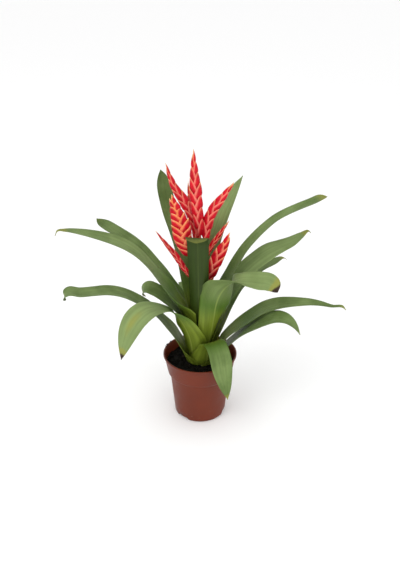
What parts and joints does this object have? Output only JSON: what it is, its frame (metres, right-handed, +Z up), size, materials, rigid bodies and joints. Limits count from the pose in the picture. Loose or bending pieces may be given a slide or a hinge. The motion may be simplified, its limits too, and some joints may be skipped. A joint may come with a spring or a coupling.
{
  "type": "potted vriesea bromeliad",
  "caption": "Potted vriesea: a rosette of arching strap leaves and a branched flower stalk with flat red bract spikes, in a tapered nursery pot with a deep collar.",
  "frame": {"origin": "centre of the pot's flat underside, on the pot's axis", "axes": "+Z is up along the pot's axis; -Y is the plant's front; +X is the viewer's right when facing the front"},
  "size_m": [0.4356, 0.2108, 0.4561],
  "materials": {
    "pot_plastic": "satin moulded plastic, terracotta brown",
    "compost": "matt, crumbly and damp",
    "stem_tissue": "satin, fresh plant tissue",
    "leaf": "satin, waxy",
    "bract": "semi-gloss, waxy"
  },
  "bodies": {
    "root": {"pot": "pot_plastic", "potting_soil": "compost", "stem": "stem_tissue", "flower_stalk": "stem_tissue", "leaf_rear_right_upright": "leaf", "leaf_rear_left_upright": "leaf", "leaf_front_upright": "leaf", "leaf_front_right_arch": "leaf", "leaf_right_high": "leaf", "leaf_right_wide": "leaf", "leaf_right_rear_short": "leaf", "leaf_right_low_long": "leaf", "leaf_right_low_short": "leaf", "leaf_front_drooping": "leaf", "leaf_left_arch": "leaf", "leaf_left_rear": "leaf", "leaf_left_short": "leaf", "leaf_front_left_drooping": "leaf", "leaf_left_low": "leaf", "leaf_rear_left_low": "leaf", "leaf_rear_right_low": "leaf", "spike_top": "bract", "spike_left_high": "bract", "spike_left_broad": "bract", "spike_rear": "bract", "spike_right_high": "bract", "spike_right_thin": "bract", "spike_right_broad": "bract", "spike_left_thin": "bract"}
  },
  "joints": []
}
